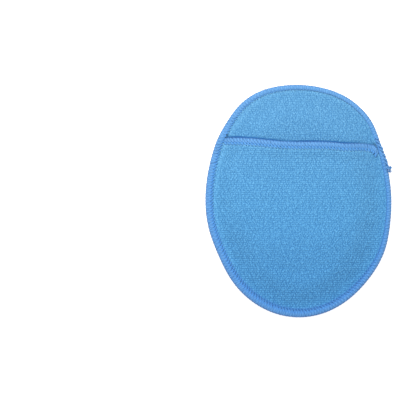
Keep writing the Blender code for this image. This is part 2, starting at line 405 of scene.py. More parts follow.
def cloth_panel(name, boundary, keep, face, reverse, seed):
    """A closed sheet: a finely divided outer face, a coarser reverse, and a rim between them.

    face and reverse take x and y, and give heights; face also gives the pile value, which carries painted shade and
    light for the colour. keep(x, y, margin) says what lies inside.
    """
    fine = grid_inside(TOP_STEP_X, TOP_STEP_Y, GRID_JITTER, lambda x, y: keep(x, y, 0.3 * MM), seed)
    step = UNDERSIDE_STEP
    coarse = grid_inside(step, step, COARSE_JITTER, lambda x, y: keep(x, y, 0.9 * MM), seed + 1)
    top_points, top_faces = triangulate(boundary, fine)
    low_points, low_faces = triangulate(boundary, coarse)
    top_z, pile = face(top_points[:, 0], top_points[:, 1])
    low_z = reverse(low_points[:, 0], low_points[:, 1])
    offset = len(top_points)
    rim_faces = rim_triangles(len(boundary), offset)
    upward = top_z.mean() > low_z.mean()
    area2 = np.sum(boundary[:, 0] * np.roll(boundary[:, 1], -1) - np.roll(boundary[:, 0], -1) * boundary[:, 1])
    if (area2 > 0) == upward:
        rim_faces = rim_faces[:, ::-1]
    if upward:
        low_faces = low_faces[:, ::-1]
    else:
        top_faces = top_faces[:, ::-1]
    verts = np.vstack([np.column_stack([top_points, top_z]), np.column_stack([low_points, low_z])])
    faces = np.vstack([top_faces, low_faces + offset, rim_faces])
    depth = np.concatenate([pile, np.full(len(low_points), REVERSE_PILE)])
    return new_object(name, verts, faces, [("rest_co", verts), ("pile", depth)])


def tube(name, centres, normals, half_width, half_height, sides, closed, thread, wrap_shade):
    """Flattened yarn along centres. normals point away from the cloth.

    thread is the distance along the yarn, and the last argument picks the yarn's painted shade and light; on a seam
    it runs from the cut edge (0) to the needle line (1).
    """
    count = len(centres)
    if closed:
        tangent = np.roll(centres, -1, axis=0) - np.roll(centres, 1, axis=0)
    else:
        tangent = np.gradient(centres, axis=0)
    tangent = unit(tangent)
    across = unit(np.cross(tangent, normals))
    up = np.cross(across, tangent)
    angle = np.arange(sides) * 2.0 * np.pi / sides
    rings = (
        centres[:, None, :]
        + across[:, None, :] * (np.cos(angle)[None, :, None] * half_width[:, None, None])
        + up[:, None, :] * (np.sin(angle)[None, :, None] * half_height[:, None, None])
    )
    verts = rings.reshape(-1, 3)
    along = count if closed else count - 1
    i = np.repeat(np.arange(along), sides)
    k = np.tile(np.arange(sides), along)
    j = (i + 1) % count
    m = (k + 1) % sides
    quads = np.stack([i * sides + k, j * sides + k, j * sides + m, i * sides + m], axis=-1)
    faces = [tuple(q) for q in quads]
    if not closed:
        faces.append(tuple(range(sides)))
        faces.append(tuple(reversed(range((count - 1) * sides, count * sides))))
    attributes = [
        ("rest_co", verts),
        ("yarn_run", np.repeat(thread, sides)),
        ("yarn_turn", np.tile(angle, count)),
        ("yarn_shade_value", np.repeat(wrap_shade, sides)),
    ]
    return fix_normals(new_object(name, verts, faces, attributes))


def fix_normals(obj):
    bm = bmesh.new()
    bm.from_mesh(obj.data)
    bmesh.ops.recalc_face_normals(bm, faces=bm.faces)
    bm.to_mesh(obj.data)
    bm.free()
    return obj


def catmull_rom(points, steps, closed):
    """Smooth curve through control points, each an array row, with steps samples per span."""
    if closed:
        p0 = np.roll(points, 1, axis=0)
        p1 = points
        p2 = np.roll(points, -1, axis=0)
        p3 = np.roll(points, -2, axis=0)
    else:
        padded = np.vstack([2 * points[0] - points[1], points, 2 * points[-1] - points[-2]])
        p0, p1, p2, p3 = padded[:-3], padded[1:-2], padded[2:-1], padded[3:]
    t = (np.arange(steps) / steps)[None, :, None]
    p0, p1, p2, p3 = (p[:, None, :] for p in (p0, p1, p2, p3))
    curve = 0.5 * (
        2 * p1
        + (p2 - p0) * t
        + (2 * p0 - 5 * p1 + 4 * p2 - p3) * t**2
        + (3 * p1 - p0 - 3 * p2 + p3) * t**3
    )
    curve = curve.reshape(-1, points.shape[1])
    return curve if closed else np.vstack([curve, points[-1:]])


# --- cloth simulation -------------------------------------

SIM_X = np.arange(-66.0, 66.1, 3.0) * MM
SIM_Y = np.arange(-81.0, 81.1, 3.0) * MM
SIM_NOISE = 0.12 * MM
SIM_SCALE = 10.0  # the solver behaves best on cloth about a metre across
SIM_FRAMES = 22
PINNED_INSET = 6.0 * MM
FREE_INSET = 12.0 * MM
WAVE_LIMIT = 0.42 * MM


def blur(field, sigma):
    """Gaussian blur of a field; sigma in grid steps."""
    reach = int(3 * sigma) + 1
    kernel = np.exp(-0.5 * (np.arange(-reach, reach + 1) / sigma) ** 2)
    kernel /= kernel.sum()
    for axis in (0, 1):
        field = np.apply_along_axis(
            lambda row: np.convolve(np.pad(row, reach, "edge"), kernel, "valid"), axis, field
        )
    return field


def settle(name, height, keep, growth, seed):
    """Waves that a sewn cloth takes when it is a little larger than its place.

    The cloth is pinned along the edge seam, grows by a small share, buckles, and gives its height above the
    smooth shape on the field's grid, without the broad doming.
    """
    gx, gy = np.meshgrid(SIM_X, SIM_Y, indexing="ij")
    x, y = gx.ravel(), gy.ravel()
    valid = keep(x, y)
    number = np.full(len(x), -1)
    number[valid] = np.arange(valid.sum())
    number = number.reshape(gx.shape)
    corners = np.stack([number[:-1, :-1], number[1:, :-1], number[1:, 1:], number[:-1, 1:]], axis=-1).reshape(-1, 4)
    quads = corners[(corners >= 0).all(axis=1)]
    rng = np.random.default_rng(seed)
    smooth_z = height(x[valid], y[valid])
    rough_z = smooth_z + rng.normal(0.0, SIM_NOISE, valid.sum())
    start = np.column_stack([x[valid], y[valid], rough_z]) * SIM_SCALE
    sheet = new_object(f"sim_{name}", start, quads)
    group = sheet.vertex_groups.new(name="sewn")
    sewn = np.nonzero(inset_at(x[valid], y[valid]) < PINNED_INSET)[0]
    group.add([int(i) for i in sewn], 1.0, "REPLACE")
    cloth_modifier = sheet.modifiers.new("cloth", "CLOTH")
    settings = cloth_modifier.settings
    settings.quality = 6
    settings.mass = 0.2
    settings.air_damping = 2.0
    settings.tension_stiffness = 18.0
    settings.compression_stiffness = 18.0
    settings.shear_stiffness = 8.0
    settings.bending_stiffness = 1.2
    settings.shrink_min = -growth
    settings.vertex_group_mass = "sewn"
    settings.effector_weights.gravity = 0.0
    scene = bpy.context.scene
    scene.frame_start = 1
    scene.frame_end = SIM_FRAMES
    for frame_number in range(1, SIM_FRAMES + 1):
        scene.frame_set(frame_number)
    result = sheet.evaluated_get(bpy.context.evaluated_depsgraph_get()).data
    co = np.empty(len(result.vertices) * 3, np.float32)
    result.vertices.foreach_get("co", co)
    lift = co.reshape(-1, 3)[:, 2] / SIM_SCALE - smooth_z
    mesh = sheet.data
    bpy.data.objects.remove(sheet)
    bpy.data.meshes.remove(mesh)
    scene.frame_set(1)
    coarse = np.zeros(len(x))
    coarse[valid] = lift
    coarse = coarse.reshape(gx.shape)
    along_x = np.array([np.interp(FIELD_X, SIM_X, coarse[:, j]) for j in range(len(SIM_Y))]).T
    fine = np.array([np.interp(FIELD_Y, SIM_Y, along_x[i]) for i in range(len(FIELD_X))])
    detail = blur(fine, 1.6) - blur(fine, 9.0)
    spread = np.std(detail[INSET_FIELD > FREE_INSET])
    return WAVE_LIMIT * np.tanh(detail / max(spread, 1e-6) * 0.55) * smooth(INSET_FIELD, SEAM_INSET, FREE_INSET)


# --- overlock seams ---------------------------------------


def seam_narrowing(x, y):
    """The edge seam is a little narrower at the top and right than at the bottom and left."""
    widest = 0.7 * MM * smooth(-y, 20.0 * MM, 70.0 * MM)
    return 0.75 * MM * x / HALF_WIDTH + 0.85 * MM * y / HALF_LENGTH - widest


def seam_point(path, s, q, lift, side, face, middle, needle_inset):
    """Point and outward normal of a thread at a seam.

    s is the distance along the seam. q runs from 0 on the cut edge to 1 on the needle line. face(x, y) is the
    cloth's face that the thread lies on, middle(x, y) the height of the cut edge's middle, and side is 1
    on top and -1 underneath.
    """
    phi = np.clip(q / WRAP_SHARE, -0.5, 1.0) * np.pi / 2.0
    c, w = (np.sign(v) * np.abs(v) ** 0.8 for v in (np.cos(phi), np.sin(phi)))
    flat = np.clip((q - WRAP_SHARE) / (1.0 - WRAP_SHARE), 0.0, 1.3)
    if path.closed:
        rim, _ = path.read(s, np.zeros_like(s))
        needle_inset = needle_inset - seam_narrowing(rim[:, 0], rim[:, 1])
    outer_inset = THREAD_OUTER_INSET if side > 0 or not path.closed else LOWER_THREAD_OUTER_INSET
    inset = WRAP_CENTRE - (WRAP_CENTRE - outer_inset) * c + flat * (needle_inset - WRAP_CENTRE)
    place, inward = path.read(s, inset)
    x, y = place[:, 0], place[:, 1]
    mid = middle(x, y)
    z = mid + (face(x, y) + side * THREAD_OFF_CLOTH - mid) * w
    outward = -inward * np.where(q < WRAP_SHARE, np.cos(phi), 0.0)[:, None]
    up = side * np.where(q < WRAP_SHARE, np.sin(phi), 1.0)
    normal = unit(np.column_stack([outward, up]))
    return np.column_stack([place, z]) + normal * lift[:, None], normal


def looper_controls(count, pitch, slant, bulk, pinch, rng):
    """Control rows (s, q, lift, half width, half height) of one looper thread, stitch by stitch.

    pinch is the q at which the needle thread pinches it.
    """
    rows = []
    for i in range(count):
        s = i * pitch
        wobble = rng.normal(0.0, 0.05, 3) * pitch
        full = 1.0 + rng.normal(0.0, 0.05)
        rows += [
            (s, -0.10, 0.05, 0.80 * bulk, 0.28),
            (s + 0.12 * slant, 0.14, 0.16, 1.04 * bulk * full, 0.30),
            (s + 0.36 * slant + wobble[0], 0.40, 0.22, 1.06 * bulk * full, 0.31),
            (s + (pinch - 0.18) * slant + wobble[1], pinch - 0.18, 0.19, 0.98 * bulk * full, 0.30),
            (s + pinch * slant, pinch, 0.06, 0.46, 0.24),
            (s + (pinch + 0.13) * slant, pinch + 0.13, 0.07, 0.78, 0.24),
            (s + 1.08 * slant, max(pinch + 0.24, 1.08), -0.02, 0.42, 0.22),
            (s + 1.08 * slant, 0.96, -0.14, 0.32, 0.20),
            (s + 0.82 * slant + wobble[2], 0.55, 0.02, 0.62, 0.26),
            (s + 0.6 * slant + 0.2 * pitch, 0.14, 0.10, 0.78, 0.28),
        ]
    return np.array(rows)


def looper(name, path, count, side, face, middle, needle_inset, phase, seed):
    """Looper thread of a seam: one bulky yarn that goes to and fro over the edge. phase is in stitches."""
    rng = np.random.default_rng(seed)
    pitch = path.length / count if path.closed else STITCH
    bulk = 1.18 if path.closed else 1.0
    control = looper_controls(count, pitch, SLANT[path.closed] * pitch, bulk, PINCH[path.closed], rng)
    control[:, 0] += phase * pitch
    if path.closed:
        # the last stitch runs on into the first, so the distance is unwrapped before it is smoothed
        turn = np.array([count * pitch, 0, 0, 0, 0])
        extended = np.vstack([control[-2:] - turn, control, control[:3] + turn])
        curve = catmull_rom(extended, CURVE_STEPS, False)
        curve = curve[2 * CURVE_STEPS : (len(control) + 2) * CURVE_STEPS]
    else:
        curve = catmull_rom(control, CURVE_STEPS, False)
    s, q, lift, width, height = curve.T
    centres, normals = seam_point(path, s, q, lift * MM, side, face, middle, needle_inset)
    run = distances(centres)
    if path.closed:
        # painted shade and light: the seam's inner part is painted darker at the right and bottom and lighter at
        # the top, its rim darker below
        x, y = centres[:, 0], centres[:, 1]
        at_bottom = smooth(-y, 30.0 * MM, 75.0 * MM)
        shift = 0.28 * smooth(x, 20.0 * MM, 58.0 * MM) + 0.12 * at_bottom
        shift = (shift - 0.35 * smooth(y, 20.0 * MM, 70.0 * MM)) * smooth(q, 0.35, 0.75)
        shift = shift - 0.07 * at_bottom * (1.0 - smooth(q, 0.1, 0.38))
        wrap_shade = q + shift
    else:
        # painted shade: the mouth's lip curls under, so its outer part is painted darker
        wrap_shade = 0.05 + 0.53 * smooth(q, -0.02, 0.75) ** 0.8 + 0.1 * smooth(q, 0.5, 0.8)
    # painted shade on the lower thread's outer part, towards the cut edge
    if side < 0:
        wrap_shade = wrap_shade - 0.14 * (1.0 - np.clip(q / 0.5, 0.0, 1.0))
    return tube(name, centres, normals, width * MM, height * MM, LOOPER_SIDES, path.closed, run, wrap_shade)


def needle_thread(name, path, count, face, middle, needle_inset, seed):
    """Stitch line: rises over the loopers at each stitch and dips into the cloth between."""
    rng = np.random.default_rng(seed)
    pitch = path.length / count if path.closed else STITCH
    pinch = PINCH[path.closed]
    rows = []
    for i in range(count):
        s = (i + pinch * SLANT[path.closed] + 0.2) * pitch
        q = pinch + rng.normal(0.0, 0.012)
        rows += [
            (s, q, -0.60),
            (s + 0.16 * pitch, q + 0.02, 0.10),
            (s + 0.38 * pitch, q + 0.03, 0.34),
            (s + 0.62 * pitch, q + 0.02, 0.08),
        ]
    control = np.array(rows)
    curve = catmull_rom(control, CURVE_STEPS, False)
    if path.closed:
        curve = curve[: len(control) * CURVE_STEPS]
    s, q, lift = curve.T
    centres, normals = seam_point(path, s, q, lift * MM, 1.0, face, middle, needle_inset)
    run = distances(centres)
    thick = np.full(len(centres), NEEDLE_RADIUS)
    shade = np.full(len(run), NEEDLE_SHADE)
    return tube(name, centres, normals, thick, thick * 0.9, NEEDLE_SIDES, False, run, shade)


def mouth_middle(x, y):
    return pocket_low(x, y) + cloth_thickness(x, y) / 2.0


def mouth_path():
    """Line of the mouth from under the left edge seam to under the right one."""
    xs = np.linspace(-60.0 * MM, 61.0 * MM, 600)
    line = np.stack([xs, mouth_y(xs)], axis=-1)
    inside = inset_at(line[:, 0], line[:, 1]) > 1.0 * MM
    return Path(line[inside], False, 1.0)


# --- materials --------------------------------------------


# Colours by a value from 0 to 1, each a list of (value, colour) that multiplies the base colour
WHITE = (1.0, 1.0, 1.0)
TERRY_DRIFT = [(0.3, (0.96, 0.97, 0.98)), (0.7, WHITE)]
# by pile value plus 1: the shade painted in the mouth and along the stitch lines has values below 0
TERRY_SHADED = [(0.3, (0.30, 0.50, 0.82)), (0.75, (0.62, 0.81, 1.0)), (0.97, WHITE)]
# along the pad: painted light and shade, the cloth lighter and less blue towards the top and darker towards the
# bottom
TERRY_PAINTED_FALLOFF = [(0.1, (0.70, 0.885, 0.928)), (0.5, (0.85, 0.955, 0.92)), (0.9, (0.965, 0.926, 0.852))]
# along the pad, for the yarn: painted light and shade, lighter towards the top and darker towards the bottom
YARN_PAINTED_FALLOFF = [(0.1, (0.86, 0.94, 0.955)), (0.5, (0.92, 0.975, 0.94)), (0.9, (1.0, 1.0, 0.92))]
# painted shade and light across a seam, 0.1 at its rim and 0.9 at its needle line: dark in shade at the rim, lit on
# the outer part, and shaded again towards the needle line
YARN_PAINTED_SHADE_STOPS = [
    (0.02, (0.20, 0.32, 0.45)),
    (0.21, (0.54, 0.60, 0.66)),
    (0.33, (1.0, 0.965, 0.91)),
    (0.56, (1.0, 0.965, 0.91)),
    (0.64, (0.84, 0.985, 1.0)),
    (0.80, (0.70, 0.87, 0.92)),
    (0.93, (0.82, 0.93, 0.95)),
    (1.0, (0.61, 0.78, 0.83)),
]
TERRY_SURFACE = {
    "Roughness": 0.92,
    "Specular IOR Level": 0.25,
    "Sheen Weight": 0.25,
    "Sheen Roughness": 0.45,
    "Sheen Tint": (0.65, 0.85, 1.0, 1.0),
}
YARN_SURFACE = {
    "Roughness": 0.7,
    "Specular IOR Level": 0.3,
    "Sheen Weight": 0.2,
    "Sheen Roughness": 0.4,
    "Sheen Tint": (0.75, 0.87, 1.0, 1.0),
}
PAPER_SURFACE = {
    "Base Color": (0.9, 0.9, 0.9, 1.0),
    "Roughness": 0.9,
    "Specular IOR Level": 0.0,
    "Emission Color": (1.0, 1.0, 1.0, 1.0),
    "Emission Strength": 0.6,
}


class Nodes:
    """Short hand for building a node tree."""

    def __init__(self, name):
        self.material = bpy.data.materials.new(name)
        self.material.use_nodes = True
        self.tree = self.material.node_tree
        self.shader = self.tree.nodes["Principled BSDF"]

    def add(self, kind, **settings):
        node = self.tree.nodes.new(kind)
        for key, value in settings.items():
            setattr(node, key, value)
        return node

    def link(self, source, target):
        self.tree.links.new(source, target)

    def attribute(self, name, output="Fac"):
        return self.add("ShaderNodeAttribute", attribute_name=name).outputs[output]

    def noise(self, vector, scale, detail, roughness=0.5):
        node = self.add("ShaderNodeTexNoise")
        node.inputs["Scale"].default_value = scale
        node.inputs["Detail"].default_value = detail
        node.inputs["Roughness"].default_value = roughness
        self.link(vector, node.inputs["Vector"])
        return node.outputs["Fac"]

    def math(self, operation, a, b):
        node = self.add("ShaderNodeMath", operation=operation)
        for socket, value in zip(node.inputs, (a, b)):
            if isinstance(value, (int, float)):
                socket.default_value = value
            else:
                self.link(value, socket)
        return node.outputs[0]

    def ramp(self, factor, stops):
        node = self.add("ShaderNodeValToRGB")
        ramp = node.color_ramp
        while len(ramp.elements) < len(stops):
            ramp.elements.new(0.5)
        for element, (position, colour) in zip(ramp.elements, stops):
            element.position = position
            element.color = (*colour, 1.0)
        self.link(factor, node.inputs["Fac"])
        return node.outputs["Color"]

    def multiply(self, a, b, factor=1.0):
        node = self.add("ShaderNodeMix", data_type="RGBA", blend_type="MULTIPLY")
        node.inputs["Factor"].default_value = factor
        self.link(a, node.inputs["A"])
        self.link(b, node.inputs["B"])
        return node.outputs["Result"]

    def bump(self, height, strength, distance):
        node = self.add("ShaderNodeBump")
        node.inputs["Strength"].default_value = strength
        node.inputs["Distance"].default_value = distance
        self.link(height, node.inputs["Height"])
        return node.outputs["Normal"]

    def along_pad(self, rest):
        """0 at the bottom end of the pad to 1 at its top."""
        axes = self.add("ShaderNodeSeparateXYZ")
        self.link(rest, axes.inputs[0])
        return self.math("ADD", self.math("MULTIPLY", axes.outputs["Y"], 1.0 / (2.0 * HALF_LENGTH)), 0.5)

    def surface(self, colour, normal, values):
        """Link colour and relief to the shader, and set its other inputs by their names."""
        self.link(colour, self.shader.inputs["Base Color"])
        self.link(normal, self.shader.inputs["Normal"])
        self.set_inputs(values)
        return self.material

    def set_inputs(self, values):
        for key, value in values.items():
            self.shader.inputs[key].default_value = value


def terry_material(name, dark, mid, light):
    """Microfibre terry: colour painted lighter at the tufts' tips and darker between them as shade, with a fine
    fibrous grain.
    """
    n = Nodes(name)
    rest = n.attribute("rest_co", "Vector")
    pile = n.attribute("pile")
    tufts = n.noise(rest, 1500.0, 1.0)
    fibres = n.noise(rest, 4200.0, 3.0, 0.65)
    broad = n.noise(rest, 55.0, 3.0)
    # the colour follows the pile value: painted shade low between the tufts and light at their tips, with the
    # painted shade and light along the seams
    height = n.math("ADD", n.math("MULTIPLY", pile, 0.76), n.math("MULTIPLY", tufts, 0.48))
    height = n.math("SUBTRACT", height, 0.09)
    factor = n.math("ADD", height, n.math("MULTIPLY", n.math("SUBTRACT", fibres, 0.5), 0.5))
    colour = n.ramp(factor, [(0.08, dark), (0.55, mid), (1.0, light)])
    drift = n.ramp(broad, TERRY_DRIFT)
    # painted light and shade along the pad
    terry_light_falloff = n.ramp(n.along_pad(rest), TERRY_PAINTED_FALLOFF)
    shaded = n.ramp(n.math("ADD", pile, 1.0), TERRY_SHADED)
    colour = n.multiply(n.multiply(colour, drift), shaded)
    relief = n.math("ADD", fibres, n.math("MULTIPLY", tufts, 0.8))
    return n.surface(n.multiply(colour, terry_light_falloff), n.bump(relief, 0.55, 0.00035), TERRY_SURFACE)


def yarn_material(name, dark, mid, light):
    """Bulky textured yarn: fine filaments that run along it with a slight twist."""
    n = Nodes(name)
    rest = n.attribute("rest_co", "Vector")
    run = n.attribute("yarn_run")
    turn = n.attribute("yarn_turn")
    twist = n.math("ADD", n.math("MULTIPLY", run, 2600.0), n.math("MULTIPLY", turn, 3.0))
    filaments = n.math("ADD", n.math("MULTIPLY", n.math("SINE", twist, 0.0), 0.5), 0.5)
    fuzz = n.noise(rest, 3800.0, 3.0, 0.6)
    patches = n.noise(rest, 420.0, 2.0)
    factor = n.math("ADD", n.math("MULTIPLY", filaments, 0.3), n.math("MULTIPLY", fuzz, 0.45))
    factor = n.math("ADD", factor, n.math("MULTIPLY", patches, 0.25))
    colour = n.ramp(factor, [(0.2, dark), (0.5, mid), (0.8, light)])
    wrap_shade = n.math("ADD", n.math("MULTIPLY", n.attribute("yarn_shade_value"), 0.8), 0.1)
    # painted shade and light across the seam
    depth = n.ramp(wrap_shade, YARN_PAINTED_SHADE_STOPS)
    # painted light and shade along the pad
    yarn_light_falloff = n.ramp(n.along_pad(rest), YARN_PAINTED_FALLOFF)
    colour = n.multiply(n.multiply(colour, depth), yarn_light_falloff)
    relief = n.math("ADD", n.math("MULTIPLY", filaments, 0.6), fuzz)
    return n.surface(colour, n.bump(relief, 0.4, 0.0002), YARN_SURFACE)


def foam_material():
    """Open-celled polyurethane foam."""
    n = Nodes("open_cell_foam")
    rest = n.attribute("rest_co", "Vector")
    cells = n.add("ShaderNodeTexVoronoi")
    cells.inputs["Scale"].default_value = 1500.0
    n.link(rest, cells.inputs["Vector"])
    broad = n.noise(rest, 80.0, 3.0)
    factor = n.math("ADD", n.math("MULTIPLY", cells.outputs["Distance"], 0.9), n.math("MULTIPLY", broad, 0.2))
    colour = n.ramp(factor, [(0.15, (0.62, 0.61, 0.56)), (0.8, (0.86, 0.85, 0.81))])
    return n.surface(colour, n.bump(cells.outputs["Distance"], 0.7, 0.0004), {"Roughness": 0.95})


# --- pieces -----------------------------------------------


def oval_boundary(count=720):
    s = np.arange(count) * EDGE.length / count
    place, _ = EDGE.read(s, np.full(count, CLOTH_EDGE))
    return place


def pocket_boundary():
    """The oval below the mouth, closed by the mouth's line."""
    ring = oval_boundary(760)
    below = depth_in_pocket(ring[:, 0], ring[:, 1]) > CLOTH_EDGE
    start = int(np.argmax(below & ~np.roll(below, 1)))
    ordered = np.roll(ring, -start, axis=0)[: int(below.sum())]
    left, right = ordered[-1], ordered[0]
    xs = np.linspace(left[0], right[0], 220)[1:-1]
    lip = np.stack([xs, mouth_y(xs) - CLOTH_EDGE], axis=-1)
    inside = inset_at(lip[:, 0], lip[:, 1]) > CLOTH_EDGE + 0.1 * MM
    return np.vstack([ordered, lip[inside]])


def inside_oval(x, y, margin):
    return inset_at(x, y) > CLOTH_EDGE + margin


def inside_pocket(x, y, margin):
    return inside_oval(x, y, margin) & (depth_in_pocket(x, y) > CLOTH_EDGE + margin)


def pile_share(x, y):
    """The pile is pressed flat under the threads of the edge seam."""
    return smooth(inset_at(x, y) + seam_narrowing(x, y), 4.2 * MM, 5.5 * MM)


def stitched_shade(distance, line, base, dimple_shade):
    """Pile value of the cloth under a seam's threads, with painted shade: lowest in the dimples along the stitch
    line.
    """
    return base - dimple_shade * bell(distance, line, DIMPLE_WIDTH)


# painted shade of the cloth under the edge seam's threads: dark dimples along the stitch line, deeper at the bottom
# and right and fainter at the top; the cloth painted lighter at the top and where the mouth's seam crosses, darker
# at the bottom
def edge_seam_shade(x, y):
    line = EDGE_NEEDLE_INSET - 0.3 * MM - seam_narrowing(x, y)
    dimple_shade = 0.75 + 0.35 * smooth(-y, 20.0 * MM, 70.0 * MM) - 0.6 * smooth(y, 30.0 * MM, 72.0 * MM)
    dimple_shade = dimple_shade + 0.4 * smooth(x, 20.0 * MM, 55.0 * MM)
    crossing = bell(depth_in_pocket(x, y), -1.5 * MM, 3.5 * MM)
    base = 0.65 + 0.3 * crossing + 0.17 * smooth(y, 45.0 * MM, 72.0 * MM) - 0.17 * smooth(-y, 40.0 * MM, 72.0 * MM)
    return stitched_shade(inset_at(x, y), line, base, dimple_shade * (1.0 - crossing))


def painted_seam_light(x, y):
    """Painted light on the pile beside the left seam and the top one."""
    left = bell(inset_at(x, y), 6.6 * MM, 1.8 * MM) * smooth(-x, 5.0 * MM, 50.0 * MM)
    top = bell(inset_at(x, y), 4.6 * MM, 1.5 * MM) * smooth(y, 40.0 * MM, 74.0 * MM)
    return 0.22 * left + 0.2 * top


def wipe_face(x, y):
    share = pile_share(x, y)
    pile = pile_height(x, y, 11)
    shade = pile * share + edge_seam_shade(x, y) * (1.0 - share)
    return squeeze(wipe_low(x, y) + PILE * (1.0 - pile) * share, x, y), shade


def wipe_reverse(x, y):
    return squeeze(wipe_high(x, y), x, y)


def back_face(x, y):
    share = pile_share(x, y)
    pile = pile_height(x, y, 12)
    # painted shade on the back cloth inside the pocket, seen as a dark line just above the mouth's lip
    in_mouth = smooth(depth_in_pocket(x, y), -1.15 * MM, -0.5 * MM)
    in_mouth = in_mouth * smooth(inset_at(x, y), 3.5 * MM, 7.0 * MM)
    shade = pile * share + edge_seam_shade(x, y) * (1.0 - share) + painted_seam_light(x, y)
    # the painted shade inside the mouth comes and goes along it, and fades at both ends
    deepest = 0.36 + 0.15 * np.sin(x / (9.0 * MM)) + 0.1 * np.sin(x / (4.1 * MM))
    deepest = deepest - 0.3 * smooth(x, 36.0 * MM, 54.0 * MM)
    deepest = deepest - 0.45 * (1.0 - smooth(x, -52.0 * MM, -38.0 * MM))
    # beyond the pocket's corners the back cloth climbs to meet the threads that cross the step
    climb = smooth(-depth_in_pocket(x, y), 0.0, 1.5 * MM) * (1.0 - smooth(inset_at(x, y), 3.2 * MM, 6.2 * MM))
    z = back_high(x, y) + climb * (stack_high(x, y) - back_high(x, y))
    return squeeze(z - PILE * (1.0 - pile) * share, x, y), shade * (1.0 - in_mouth) - deepest * in_mouth


def back_reverse(x, y):
    return squeeze(back_low(x, y), x, y)


def pocket_face(x, y):
    depth = depth_in_pocket(x, y)
    share = pile_share(x, y) * smooth(depth, 4.6 * MM, 5.6 * MM)
    pile = pile_height(x, y, 13)
    by_edge = inset_at(x, y) < depth
    mouth_shade = stitched_shade(depth, MOUTH_NEEDLE_INSET - 1.2 * MM, 0.95, 1.4)
    under_seam = np.where(by_edge, edge_seam_shade(x, y), mouth_shade)
    # painted light on the cloth just below the mouth's seam
    painted_light_below_seam = 0.3 * bell(depth, 5.4 * MM, 1.1 * MM)
    shade = pile * share + under_seam * (1.0 - share) + painted_seam_light(x, y) + painted_light_below_seam
    return squeeze(pocket_high(x, y) - PILE * (1.0 - pile) * share, x, y), shade


def pocket_reverse(x, y):
    return squeeze(pocket_low(x, y), x, y)


def foam_piece():
    """Foam core: a rounded slab that fills the space between the two terry cloths."""
    count = 360
    s = np.arange(count) * EDGE.length / count
    place, _ = EDGE.read(s, np.full(count, FOAM_EDGE))
    step = 1.6 * MM
    inside = grid_inside(step, step, COARSE_JITTER, lambda x, y: inset_at(x, y) > FOAM_EDGE + 0.8 * MM, 21)
    points, faces = triangulate(place, inside)
    x, y = points.T
    low = wipe_high(x, y) + CLEARANCE
    high = back_low(x, y) - CLEARANCE
    offset = len(points)
    verts = np.vstack([np.column_stack([points, high]), np.column_stack([points, low])])
    faces = np.vstack([faces, faces[:, ::-1] + offset, rim_triangles(count, offset)])
    return fix_normals(new_object("foam_padding", verts, faces, [("rest_co", verts)]))


# Loose end of the overlock chain, in millimetres. Strands: pitch of the twist, reach and radius. Stubs: place,
# heading and number of loose filaments.
TAIL_ROUTE = [(53.2, 43.2), (54.9, 39.4), (56.4, 36.0), (57.8, 32.4), (59.2, 28.6), (60.5, 24.6), (61.5, 20.4)]
TAIL_STRANDS = ((6.4, 0.80, 0.52), (6.4, 0.80, 0.52), (3.2, 0.95, 0.28))
TAIL_STUBS = (((61.9, 22.3), (0.97, -0.24), 18), ((61.5, 19.6), (0.98, -0.2), 10))


